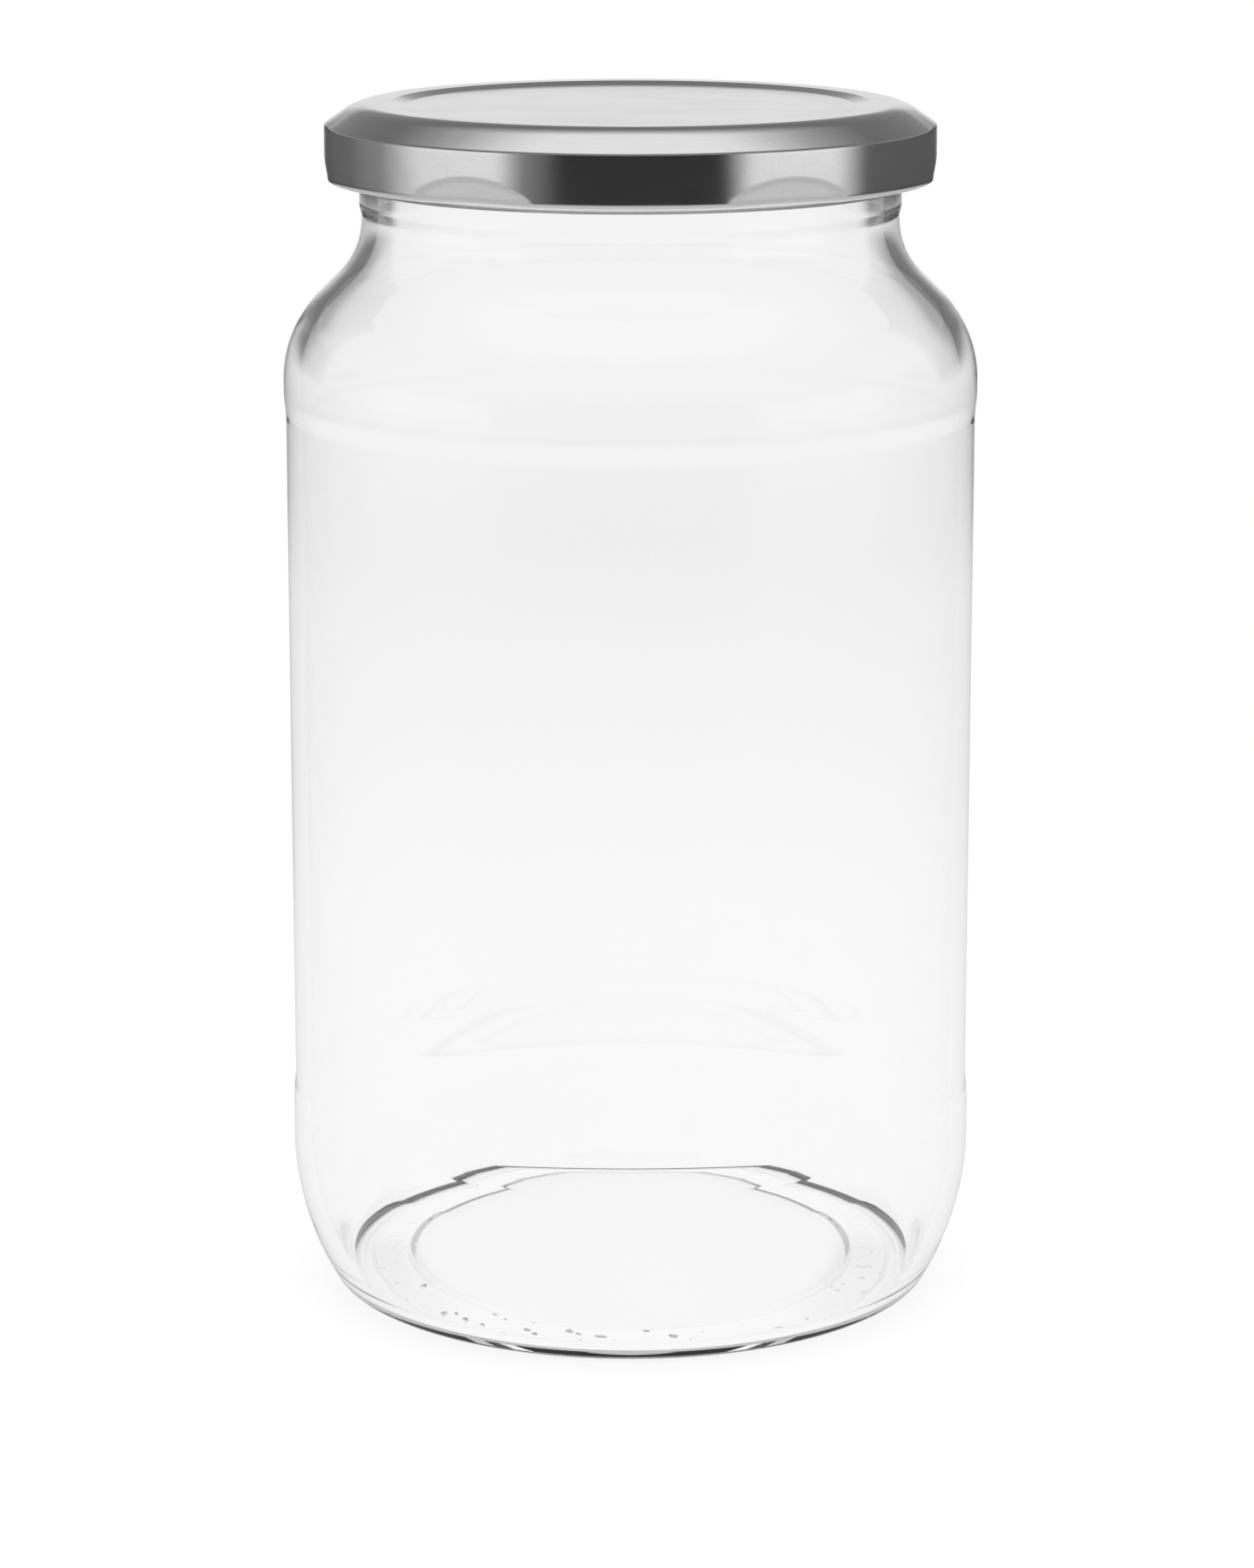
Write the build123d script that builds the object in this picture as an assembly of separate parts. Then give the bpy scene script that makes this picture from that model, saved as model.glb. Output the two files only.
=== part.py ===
"""Preserving jar with a six-lug twist-off cap, for keeping a sourdough starter.

Three pieces: the blown glass jar, the tinplate cap and the soft sealing ring in the cap.
Millimetres and degrees. The origin is the middle of the base, on the table, and +Z is up.
"""
import math
import os

from build123d import *

# Glass jar: body
jar_height = 168.9          # table to the top of the rim
body_radius = 49.0          # outside of the two bands
body_wall = 2.4
panel_recess = 0.3          # depth of the label panel between the bands
panel_edge_height = 2.4     # slope from a band into the panel
lower_band_height = 5.6     # straight band above the heel
upper_band_height = 5.8     # straight band under the shoulder

# Glass jar: base
heel_radius = 39.2          # large curve from the wall down to the foot
heel_corner_radius = 1.2    # small curve where the heel turns under
foot_run = 5.8              # the foot rises outward from the bearing ring over this width
foot_rise = 0.4
heel_inset = 12.2           # outer edge of the bearing ring to the outside of the body
bearing_width = 4.4         # flat ring that the jar stands on
dish_edge_run = 1.0         # slope from the bearing ring up to the dished underside
dish_edge_height = 0.5
push_up = 2.6               # height of the dish at its middle
base_thickness = 2.6        # at the middle
ring_thickness = 2.0        # over the outer edge of the bearing ring
floor_bend_radius = 4.0     # curve from the floor up to the inside of the heel

# Glass jar: shoulder and neck
neck_set_back = 1.55        # waist of the neck inside the wall of the finish
neck_wall = 2.3
neck_height = 1.2           # straight waist under the neck bead
shoulder_angle = 45.0       # steepest slope of the shoulder, from the vertical
neck_curve_share = 1.0      # hollow curve, as a share of the step from neck to body
shoulder_curve_share = 1.5  # round curve, as a share of the same step
bead_reach = 0.6            # the neck bead stands out this far from the waist
bead_height = 1.3
bead_edge_height = 0.7
finish_flare_height = 1.4   # slope from the bead out to the wall that carries the ramps
finish_margin = 0.8         # straight wall that shows below the cap

# Glass jar: finish
finish_radius = 39.35       # wall between the ramps
rim_outer_round = 1.3
rim_inner_round = 1.2
ramp_count = 6
ramp_depth = 1.65           # the ramps stand out this far from the wall
ramp_thickness = 1.3        # at the wall
ramp_crest_thickness = 0.9  # at the outer edge
ramp_sink = 0.6             # root of a ramp inside the wall
ramp_lead = 27.0            # climb in one turn, to the left seen from outside
ramp_low_angle = -15.0      # a ramp starts this far before the lug that it holds
ramp_high_angle = 35.0
ramp_taper_angle = 7.0      # each end fades out over this angle
ramp_end_share = 0.25       # what is left of the depth and thickness at the very end
ramp_sections = 15

# Cap
cap_height = 10.6
sheet = 0.2                 # tinplate
curl_diameter = 1.6         # rolled lower edge
curl_clearance = 0.3        # rolled edge to the outside of the ramps
centre_panel_sink = 0.45
centre_panel_edge = 2.2     # slope from the centre panel up to the crest
crest_width = 3.0           # flat ring over the rim
cap_shoulder_run = 6.3      # outer edge of the crest to the outside of the skirt
cap_shoulder_angle = 34.0   # slope of the cap's shoulder, from the horizontal
cap_shoulder_round = 6.0
cap_corner_round = 0.6

# Cap: lugs
lug_press = 1.5             # how far the skirt and its rolled edge are pressed in
lug_ring_radius = 45.0      # plan radius of the pressing tool
lug_tool_round = 3.5        # the tool's rounded edge, which leaves the arched dimple
lug_height = 1.5
lug_corner_share = 0.25      # rounding of the lug's edges, as a share of its height
lug_overlap = 0.1           # lug into the dimple's wall
lug_clearance = 0.12        # lug to the ramp over it
dimple_drop = 0.5           # the dimple's wall ends this far below the middle of the rolled edge

# Sealing ring
seal_thickness = 0.9
seal_inset = 0.3            # inner edge of the crest to the seal
seal_reach = 2.0            # seal under the round outside the crest
seal_clearance = 0.05       # seal to the curved shoulder of the cap

# Heights and radii that follow
inner_body_radius = body_radius - body_wall
bearing_radius = body_radius - heel_inset
neck_radius = finish_radius - neck_set_back
bore_radius = neck_radius - neck_wall
ramp_radius = finish_radius + ramp_depth
cap_radius = ramp_radius + curl_clearance + curl_diameter
crest_radius = cap_radius - cap_shoulder_run
crest_inner_radius = crest_radius - crest_width
seal_inner_radius = crest_inner_radius + seal_inset
seal_outer_radius = crest_radius + seal_reach
cap_top = jar_height + seal_thickness + sheet
cap_bottom = cap_top - cap_height
curl_radius = curl_diameter / 2
curl_centre_radius = cap_radius - curl_radius
curl_centre_height = cap_bottom + curl_radius
finish_bottom = cap_bottom - finish_margin
bead_top = finish_bottom - finish_flare_height
bead_bottom = bead_top - bead_height
neck_top = bead_bottom - bead_edge_height
neck_bottom = neck_top - neck_height
neck_step = body_radius - neck_radius
neck_curve = neck_curve_share * neck_step
shoulder_curve = shoulder_curve_share * neck_step

OUT = Vector(1, 0)
UP = Vector(0, 1)


def upright(line_or_face):
    """Place a drawing of radius and height on the plane through the jar's axis."""
    return Plane.XZ * line_or_face


def sine(angle):
    return math.sin(math.radians(angle))


def cosine(angle):
    return math.cos(math.radians(angle))


def shoulder_line(top_radius, bottom_radius, hollow, bulge):
    """S-curve from the straight body wall up to the straight neck."""
    turned = (hollow + bulge) * (1 - cosine(shoulder_angle))
    slope = (bottom_radius - top_radius - turned) / sine(shoulder_angle)
    drop = (hollow + bulge) * sine(shoulder_angle) + slope * cosine(shoulder_angle)
    start = Vector(bottom_radius, neck_bottom - drop)
    lower = JernArc(start, UP, bulge, shoulder_angle)
    straight = Line(lower @ 1, lower @ 1 + (lower % 1) * slope)
    upper = JernArc(straight @ 1, straight % 1, hollow, -shoulder_angle)
    return start, Curve() + [lower, straight, upper]


def dish_radius_of_curvature():
    """The underside is a shallow dish, whose circle is centred on the axis."""
    edge_radius = bearing_radius - bearing_width - dish_edge_run
    rise = push_up - dish_edge_height
    return (edge_radius**2 + rise**2) / (2 * rise), edge_radius


def base_outline():
    """Underside from the axis out to the wall: dish, bearing ring, foot and heel."""
    dish_curve, edge_radius = dish_radius_of_curvature()
    dish = JernArc((0, push_up), OUT, dish_curve, -math.degrees(math.asin(edge_radius / dish_curve)))
    ring_inner = Vector(bearing_radius - bearing_width, 0)
    ring_outer = Vector(bearing_radius, 0)
    edge = Line(dish @ 1, ring_inner)
    ring = Line(ring_inner, ring_outer)
    foot_angle = 2 * math.degrees(math.atan2(foot_rise, foot_run))
    foot = JernArc(ring_outer, OUT, foot_run / sine(foot_angle), foot_angle)
    corner_centre_radius = bearing_radius + foot_run - heel_corner_radius * sine(foot_angle)
    reach = corner_centre_radius - body_radius + heel_radius
    heel_angle = math.degrees(math.acos(reach / (heel_radius - heel_corner_radius)))
    corner = JernArc(foot @ 1, foot % 1, heel_corner_radius, 90 - foot_angle - heel_angle)
    heel = JernArc(corner @ 1, corner % 1, heel_radius, heel_angle)
    return Curve() + [dish, edge, ring, foot, corner, heel], heel @ 1


def wall_outline(heel_top, shoulder_start):
    """Outside of the body: lower band, recessed label panel and upper band."""
    panel_radius = body_radius - panel_recess
    lower_band_top = heel_top.Y + lower_band_height
    upper_band_bottom = shoulder_start.Y - upper_band_height
    return Polyline(
        heel_top,
        (body_radius, lower_band_top),
        (panel_radius, lower_band_top + panel_edge_height),
        (panel_radius, upper_band_bottom - panel_edge_height),
        (body_radius, upper_band_bottom),
        shoulder_start,
    )


def finish_outline():
    """Neck bead, flare, straight wall and rounded rim, down to the bore."""
    bead_radius = neck_radius + bead_reach
    neck = Polyline(
        (neck_radius, neck_bottom),
        (neck_radius, neck_top),
        (bead_radius, bead_bottom),
        (bead_radius, bead_top),
        (finish_radius, finish_bottom),
        (finish_radius, jar_height - rim_outer_round),
    )
    outer_round = JernArc(neck @ 1, UP, rim_outer_round, 90)
    land = Line(outer_round @ 1, (bore_radius + rim_inner_round, jar_height))
    inner_round = JernArc(land @ 1, -OUT, rim_inner_round, 90)
    bore = Line(inner_round @ 1, (bore_radius, neck_bottom))
    return Curve() + [neck, outer_round, land, inner_round, bore]


def inside_outline(heel_top, shoulder_start):
    """Inside of the body: domed floor, bend, heel alongside the outer heel, straight wall."""
    floor_height = push_up + base_thickness
    fall = floor_height - ring_thickness
    floor_curve = (bearing_radius**2 + fall**2) / (2 * fall)
    heel_curve = heel_radius - body_wall
    heel_centre_radius = body_radius - heel_radius
    across = Vector(heel_centre_radius, heel_top.Y - floor_height + floor_curve)
    from_floor = floor_curve + floor_bend_radius
    from_heel = heel_curve - floor_bend_radius
    along = (from_floor**2 - from_heel**2 + across.length**2) / (2 * across.length)
    lean = math.degrees(math.atan2(across.X, across.Y))
    floor_angle = lean + math.degrees(math.acos(along / from_floor))
    heel_reach = from_floor * sine(floor_angle) - heel_centre_radius
    heel_angle = math.degrees(math.acos(heel_reach / from_heel))
    floor = JernArc((0, floor_height), OUT, floor_curve, -floor_angle)
    bend = JernArc(floor @ 1, floor % 1, floor_bend_radius, 90 + floor_angle - heel_angle)
    heel = JernArc(bend @ 1, bend % 1, heel_curve, heel_angle)
    wall = Line(heel @ 1, shoulder_start)
    return Curve() + [floor, bend, heel, wall]


def ramp_section(angle, low_height):
    """Cross-section of a ramp at an angle from its lug, smaller near its two ends."""
    from_end = min(angle - ramp_low_angle, ramp_high_angle - angle) / ramp_taper_angle
    size = ramp_end_share + (1 - ramp_end_share) * sine(90 * min(from_end, 1))
    middle = low_height + ramp_thickness / 2 + ramp_lead * angle / 360
    depth = ramp_depth * size
    half = ramp_thickness * size / 2
    crest_top = -half + ramp_crest_thickness * size
    outline = Polyline(
        (finish_radius - ramp_sink, -half),
        (finish_radius + depth, -half),
        (finish_radius + depth, crest_top),
        (finish_radius - ramp_sink, half),
        close=True,
    )
    radial = Vector(cosine(angle), sine(angle), 0)
    across = Vector(sine(angle), -cosine(angle), 0)
    return Plane(origin=(0, 0, middle), x_dir=radial, z_dir=across) * make_face(outline)


def lug_centre():
    """Distance from the jar's axis to the axis of the tool that presses a lug."""
    return cap_radius - lug_press + lug_ring_radius


def lug_inner_radius():
    """Plan radius of the lug's inner face, about the tool's axis."""
    return lug_ring_radius + curl_diameter


def lug_half_angle():
    """Half the angle over which a lug reaches under its ramp."""
    far = lug_centre()
    cos_half = (far**2 + ramp_radius**2 - lug_inner_radius() ** 2) / (2 * far * ramp_radius)
    return math.degrees(math.acos(cos_half))


def lug_ramp():
    """One right-hand ramp. A level lug clears it over the lug's whole width."""
    lug_top = curl_centre_height + lug_height / 2
    low_height = lug_top + ramp_lead * lug_half_angle() / 360 + lug_clearance
    span = ramp_high_angle - ramp_low_angle
    angles = [ramp_low_angle + span * i / (ramp_sections - 1) for i in range(ramp_sections)]
    return loft([ramp_section(angle, low_height) for angle in angles])


def around(piece, count):
    """Copies of a piece at equal angles about the jar's axis."""
    return [Rot(0, 0, 360 * i / count) * piece for i in range(count)]


def make_jar():
    """Blown glass jar with its six ramps."""
    base, heel_top = base_outline()
    shoulder_start, shoulder = shoulder_line(neck_radius, body_radius, neck_curve, shoulder_curve)
    inner_start, inner_shoulder = shoulder_line(
        bore_radius, inner_body_radius, neck_curve + neck_wall, shoulder_curve - body_wall
    )
    wall = wall_outline(heel_top, shoulder_start)
    inside = inside_outline(heel_top, inner_start)
    axis_line = Line((0, push_up), (0, push_up + base_thickness))
    outline = Curve() + [*base.edges(), *wall.edges(), *shoulder.edges(), *finish_outline().edges()]
    outline += [*inner_shoulder.edges(), *inside.edges(), axis_line]
    body = revolve(upright(make_face(outline)), Axis.Z)
    return body + around(lug_ramp(), ramp_count)


def cap_line(inset):
    """Top of the cap from its axis to the middle of the rolled edge, inset by a thickness."""
    crest = cap_top - inset
    top = Polyline(
        (0, crest - centre_panel_sink),
        (crest_inner_radius - centre_panel_edge, crest - centre_panel_sink),
        (crest_inner_radius, crest),
        (crest_radius, crest),
    )
    upper_round = cap_shoulder_round - inset
    corner_round = cap_corner_round - inset
    outer_run = cap_radius - crest_radius
    corner_run = cap_corner_round * (1 - sine(cap_shoulder_angle))
    slope_run = outer_run - cap_shoulder_round * sine(cap_shoulder_angle) - corner_run
    bend = JernArc(top @ 1, OUT, upper_round, -cap_shoulder_angle)
    slope = Line(bend @ 1, bend @ 1 + (bend % 1) * (slope_run / cosine(cap_shoulder_angle)))
    corner = JernArc(slope @ 1, slope % 1, corner_round, cap_shoulder_angle - 90)
    skirt = Line(corner @ 1, (cap_radius - inset, curl_centre_height))
    return Curve() + [*top.edges(), bend, slope, corner, skirt]


def cap_blank():
    """The drawn cap with its rolled edge, before the lugs are pressed."""
    outside = cap_line(0)
    inside = cap_line(sheet)
    middle = Line((0, cap_top - centre_panel_sink), (0, cap_top - sheet - centre_panel_sink))
    end = Line((cap_radius, curl_centre_height), (cap_radius - sheet, curl_centre_height))
    shell = make_face(Curve() + [*outside.edges(), *inside.edges(), middle, end])
    curl = Pos(curl_centre_radius, curl_centre_height) * Circle(curl_radius)
    return revolve(upright(shell + curl), Axis.Z)


def lug_tool(round_radius):
    """Ring that presses a lug: a torus that stands beside the cap."""
    torus = Torus(lug_ring_radius - lug_tool_round, round_radius)
    return Pos(lug_centre(), 0, curl_centre_height) * torus


def dimple_pad():
    """Metal behind the tool, which becomes the dimple's wall when the tool is cut out."""
    bottom = curl_centre_height - dimple_drop
    height = lug_tool_round + sheet + dimple_drop
    stock = Pos(0, 0, bottom + height / 2) * Cylinder(cap_radius - sheet / 2, height)
    return lug_tool(lug_tool_round + sheet) & stock


def lug():
    """Rolled edge pressed in and flattened to hold under a ramp."""
    outer = lug_ring_radius + lug_overlap
    width = lug_inner_radius() - outer
    middle = Pos(lug_centre() - outer - width / 2, curl_centre_height)
    section = middle * RectangleRounded(width, lug_height, lug_corner_share * lug_height)
    tool_axis = Axis((lug_centre(), 0, 0), (0, 0, 1))
    ring = revolve(upright(section), tool_axis)
    stock = Pos(0, 0, curl_centre_height) * Cylinder(curl_centre_radius, curl_diameter)
    return ring & stock


def make_cap():
    """Tinplate cap with six pressed lugs."""
    cap = cap_blank() + around(dimple_pad(), ramp_count)
    cap -= around(lug_tool(lug_tool_round), ramp_count)
    return cap + around(lug(), ramp_count)


def make_seal():
    """Flowed-in ring, flat where it meets the rim and the crest of the cap."""
    top = jar_height + seal_thickness
    section = Polyline(
        (seal_inner_radius, jar_height),
        (seal_outer_radius, jar_height),
        (seal_outer_radius, cap_underside(seal_outer_radius) - seal_clearance),
        (crest_radius, top),
        (seal_inner_radius, top),
        close=True,
    )
    return revolve(upright(make_face(section)), Axis.Z)


def cap_underside(radius):
    """Height of the cap's underside on the round between its crest and its shoulder."""
    round_centre = cap_top - cap_shoulder_round
    return round_centre + math.sqrt((cap_shoulder_round - sheet) ** 2 - (radius - crest_radius) ** 2)


def main():
    os.makedirs("parts", exist_ok=True)
    pieces = {"glass_jar": make_jar(), "lid_shell": make_cap(), "sealing_ring": make_seal()}
    for name, piece in pieces.items():
        export_step(piece, f"parts/{name}.step")
        solids = piece.solids()
        print(name, len(solids), "solid", round(piece.volume, 1), "mm3", piece.is_valid)


main()
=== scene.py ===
"""Preserving jar of clear glass with a six-lug tinplate cap, dressed and lit for a picture."""

import math

import bmesh
import bpy
from bpy.props import FloatProperty, FloatVectorProperty, IntProperty, PointerProperty
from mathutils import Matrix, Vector, noise


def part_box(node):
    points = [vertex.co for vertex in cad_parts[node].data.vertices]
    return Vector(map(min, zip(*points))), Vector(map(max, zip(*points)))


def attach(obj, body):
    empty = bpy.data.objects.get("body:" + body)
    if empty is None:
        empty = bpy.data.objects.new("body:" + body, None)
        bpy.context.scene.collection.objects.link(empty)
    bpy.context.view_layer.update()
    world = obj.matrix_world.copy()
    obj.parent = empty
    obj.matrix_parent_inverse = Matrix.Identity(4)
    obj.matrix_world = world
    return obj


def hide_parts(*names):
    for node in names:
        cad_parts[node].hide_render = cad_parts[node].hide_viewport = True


bl_info = {
    "name": "Preserving Jar",
    "version": (1, 0, 0),
    "blender": (4, 5, 0),
    "location": "3D View > Sidebar > Jar",
    "description": "Builds a clear glass jar with its twist-off cap, and a white table to stand it on",
    "category": "Add Mesh",
}

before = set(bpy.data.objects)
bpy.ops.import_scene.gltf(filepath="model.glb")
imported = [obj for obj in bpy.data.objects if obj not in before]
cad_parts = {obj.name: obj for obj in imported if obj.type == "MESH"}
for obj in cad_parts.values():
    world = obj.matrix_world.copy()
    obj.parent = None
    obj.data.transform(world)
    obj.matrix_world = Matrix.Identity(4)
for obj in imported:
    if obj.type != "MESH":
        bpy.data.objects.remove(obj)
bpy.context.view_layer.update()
JAR_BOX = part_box("glass_jar")
CAP_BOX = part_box("lid_shell")
SEAL_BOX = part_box("sealing_ring")

MERGE_DISTANCE = 1e-7
SAME_RADIUS = 1e-6
ON_AXIS = 1e-5
FULL_TURN = math.tau
QUARTER_TURN = math.pi / 2


def length(name, description, default):
    """Size in metres."""
    return FloatProperty(
        name=name, description=description, default=default, precision=5, unit="LENGTH"
    )


def degrees(name, description, default):
    """Angle, given in degrees."""
    return FloatProperty(
        name=name, description=description, default=math.radians(default), subtype="ANGLE"
    )


def share(name, description, default):
    """Share of another size."""
    return FloatProperty(name=name, description=description, default=default, subtype="FACTOR")


def number(name, description, default):
    """Plain number."""
    return FloatProperty(name=name, description=description, default=default)


def colour(name, description, default):
    """Colour as red, green and blue."""
    return FloatVectorProperty(
        name=name, description=description, default=default, size=3, subtype="COLOR", min=0, max=1
    )


class JarSizes(bpy.types.PropertyGroup):
    """Sizes of the blown glass."""

    segments: IntProperty(name="Segments", description="Steps round the jar", default=300)
    height: length("Height", "Table to the top of the rim", JAR_BOX[1].z)
    body_radius: length("Body radius", "Outside of the two bands", JAR_BOX[1].x)
    body_wall: length("Body wall", "Thickness of the glass in the body", 0.0024)
    panel_recess: length("Panel recess", "Depth of the label panel between the bands", 0.0003)
    panel_edge: length("Panel edge", "Height of the slope from a band into the panel", 0.003)
    panel_round: length("Panel rounding", "Rounding at both ends of that slope", 0.014)
    panel_blur: length("Panel blur", "Inside, the slope is longer by this at each end", 0.0005)
    lower_band: length("Lower band", "Straight band above the heel", 0.0058)
    upper_band: length("Upper band", "Straight band under the shoulder", 0.0021)
    heel_radius: length("Heel radius", "Large curve from the wall down to the foot", 0.0392)
    heel_corner: length("Heel corner", "Small curve where the heel turns under", 0.0012)
    foot_run: length("Foot run", "Foot that rises outward from the bearing ring", 0.0058)
    foot_rise: length("Foot rise", "Height of the foot's outer edge", 0.0004)
    heel_inset: length("Heel inset", "Outer edge of the bearing ring to the outside of the body", 0.0122)
    bearing_width: length("Bearing width", "Flat ring that the jar stands on", 0.0044)
    dish_run: length("Dish edge run", "Slope from the bearing ring to the dished underside", 0.001)
    dish_edge: length("Dish edge height", "Height of that slope", 0.0005)
    dish_round: length("Dish edge rounding", "Rounding at both ends of that slope", 0.0021)
    stipple: length("Stipple", "Depth of the stippling on the bearing ring", 0.00006)
    stipple_size: length("Stipple size", "Distance from one dot to the next", 0.0013)
    push_up: length("Push-up", "Height of the dish in its middle", 0.0026)
    base_thickness: length("Base thickness", "Glass under the floor in its middle", 0.0026)
    ring_thickness: length("Ring thickness", "Glass over the outer edge of the bearing ring", 0.002)
    floor_bend: length("Floor bend", "Curve from the floor up to the heel's inside", 0.004)
    neck_wall: length("Neck wall", "Thickness of the glass in the neck", 0.0023)
    neck_set_back: length("Neck set-back", "Waist of the neck inside the wall of the finish", 0.00155)
    neck_height: length("Neck height", "Straight waist under the neck bead", 0.0007)
    shoulder_angle: degrees("Shoulder angle", "Steepest slope of the shoulder from the vertical", 45)
    neck_curve: share("Neck curve", "Hollow curve as a share of the step from neck to body", 1.0)
    shoulder_curve: share("Shoulder curve", "Round curve as a share of the same step", 1.5)
    bead_reach: length("Bead reach", "Neck bead outside the waist", 0.0003)
    bead_height: length("Bead height", "Straight part of the neck bead", 0.0029)
    bead_edge: length("Bead edge", "Slope from the waist to the bead", 0.0012)
    bead_round: length("Bead rounding", "Rounding of the bead and of the slopes beside it", 0.0011)
    flare_height: length("Flare height", "Slope from the bead to the wall with the ramps", 0.0009)
    finish_lift: length("Finish lift", "Cap's edge to the bottom of the wall with the ramps", 0.0003)
    finish_radius: length("Finish radius", "Wall between the ramps", 0.03935)
    rim_outer_round: length("Outer rim rounding", "Outer edge of the rim", 0.0013)
    rim_inner_round: length("Inner rim rounding", "Inner edge of the rim", 0.0012)
    ramps: IntProperty(name="Ramps", description="Glass ramps that hold the cap's lugs", default=6)
    ramp_depth: length("Ramp depth", "Ramp outside its wall", 0.00165)
    ramp_thickness: length("Ramp thickness", "Ramp at its wall", 0.0013)
    ramp_above_lug: length("Ramp height", "Middle of the cap's rolled edge to the ramp above it", 0.00163)
    ramp_lead: length("Ramp lead", "Climb in one turn", 0.027)
    ramp_low: degrees("Ramp start", "Low end of a ramp from its lug", -15)
    ramp_high: degrees("Ramp end", "High end of a ramp from its lug", 35)
    ramp_taper: degrees("Ramp taper", "Each end fades out over this angle", 7)
    ramp_end: share("Ramp tip", "Share of depth and thickness at the very end", 0.25)


class CapSizes(bpy.types.PropertyGroup):
    """Sizes of the tinplate cap and of the ring under it."""

    segments: IntProperty(name="Segments", description="Steps round the cap", default=480)
    radius: length("Radius", "Outside of the skirt", CAP_BOX[1].x)
    top: length("Top", "Table to the crest of the cap", CAP_BOX[1].z)
    bottom: length("Bottom", "Table to the rolled edge", CAP_BOX[0].z)
    sheet: length("Sheet", "Thickness of the tinplate", 0.0002)
    panel_sink: length("Panel sink", "Centre panel below the crest", 0.00045)
    panel_edge: length("Panel edge", "Slope from the centre panel up to the crest", 0.0022)
    panel_round: length("Panel rounding", "Bends at both ends of that slope", 0.001)
    crest_width: length("Crest width", "Flat ring over the rim", 0.003)
    shoulder_run: length("Shoulder run", "Outer edge of the crest to the outside of the skirt", 0.0063)
    shoulder_angle: degrees("Shoulder angle", "Slope of the shoulder from the horizontal", 34)
    shoulder_round: length("Shoulder rounding", "Bend from the crest to the shoulder", 0.006)
    corner_round: length("Corner rounding", "Bend from the shoulder to the skirt", 0.0006)
    curl: length("Curl", "Diameter of the rolled edge", 0.0016)
    lugs: IntProperty(name="Lugs", description="Places where the rolled edge is pressed in", default=6)
    lug_press: length("Lug press", "Rolled edge pressed in at a lug", 0.0015)
    lug_ring: length("Lug tool", "Plan radius of the tool that presses a lug", 0.045)
    lug_lean: degrees("Lug tool lean", "Slope of the tool's side, which leaves the arch", 38)
    lug_foot: length("Lug tool foot", "Rounding where that slope meets the rolled edge", 0.0005)
    lug_blend: length("Lug blend", "Softness of the arch's outline", 0.0006)
    seal_inset: length("Seal inset", "Inner edge of the crest to the seal", 0.0003)
    seal_reach: length("Seal reach", "Seal under the bend outside the crest", 0.002)
    seal_clearance: length("Seal clearance", "Seal to the bend of the cap over it", 0.00005)
    seal_round: length("Seal rounding", "Edges of the flowed compound", 0.0002)


class GlassFinish(bpy.types.PropertyGroup):
    """Look of the glass."""

    tint: colour("Tint", "What one surface of the glass lets through", (0.976, 0.978, 0.977))
    refraction: number("Refraction", "How strongly the glass bends light", 1.5)
    ripple: length("Ripple", "Unevenness of the blown inner wall", 0.00006)
    ripple_size: length("Ripple size", "Distance from one wave of it to the next", 0.03)


class CapFinish(bpy.types.PropertyGroup):
    """Look of the tinplate and the sealing compound."""

    tin: colour("Tin", "Light that the tinplate throws back", (0.76, 0.76, 0.765))
    compound: colour("Compound", "Colour of the sealing ring", (0.8, 0.79, 0.76))


class StageLook(bpy.types.PropertyGroup):
    """Table, light and camera."""

    camera_distance: length("Camera distance", "Camera to the jar's axis, level", 0.655)
    camera_height: length("Camera height", "Camera above the table", 0.2296)
    camera_pitch: degrees("Camera pitch", "Camera tilted down", 11.62)
    lens: number("Lens", "Focal length in millimetres on a 36 mm frame", 107.3)
    white: colour("White", "Colour of the table and the background", (1, 1, 1))


def arc(centre, radius, start, end, steps):
    """Round stretch of an outline, between two angles from the outward direction."""
    points = []
    for i in range(steps + 1):
        angle = start + (end - start) * i / steps
        across, up = radius * math.cos(angle), radius * math.sin(angle)
        points.append(Vector((centre[0] + across, centre[1] + up)))
    return points


def fillet(before, corner, after, radius, steps):
    """Corner of an outline, rounded."""
    before, corner, after = Vector(before), Vector(corner), Vector(after)
    inward = (before - corner).normalized()
    onward = (after - corner).normalized()
    half = inward.angle(onward) / 2
    middle = (inward + onward).normalized()
    centre = corner + middle * (radius / math.sin(half))
    first = (corner + inward * (radius / math.tan(half)) - centre).normalized()
    last = (corner + onward * (radius / math.tan(half)) - centre).normalized()
    return [centre + first.slerp(last, i / steps) * radius for i in range(steps + 1)]


def rounded(corners, steps=4):
    """Outline through corners given as radius, height and rounding."""
    points = []
    for i, (radius, height, bend) in enumerate(corners):
        if bend and 0 < i < len(corners) - 1:
            points += fillet(corners[i - 1][:2], (radius, height), corners[i + 1][:2], bend, steps)
        else:
            points.append(Vector((radius, height)))
    return points


def stretch(start, end, steps):
    """Straight stretch in even steps, both ends included."""
    start, end = Vector(start), Vector(end)
    return [start.lerp(end, i / steps) for i in range(steps + 1)]


def spun(outline, segments, closed=False):
    """Shape turned about the upright axis from an outline of radius and height."""
    shape = bmesh.new()
    row = [shape.verts.new((radius, 0, height)) for radius, height in outline]
    pairs = list(zip(row, row[1:]))
    if closed:
        pairs.append((row[-1], row[0]))
    edges = [shape.edges.new(pair) for pair in pairs]
    bmesh.ops.spin(
        shape,
        geom=row + edges,
        cent=(0, 0, 0),
        axis=(0, 0, 1),
        angle=FULL_TURN,
        steps=segments,
        use_merge=True,
    )
    bmesh.ops.remove_doubles(shape, verts=shape.verts, dist=MERGE_DISTANCE)
    bmesh.ops.recalc_face_normals(shape, faces=shape.faces)
    return shape


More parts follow.
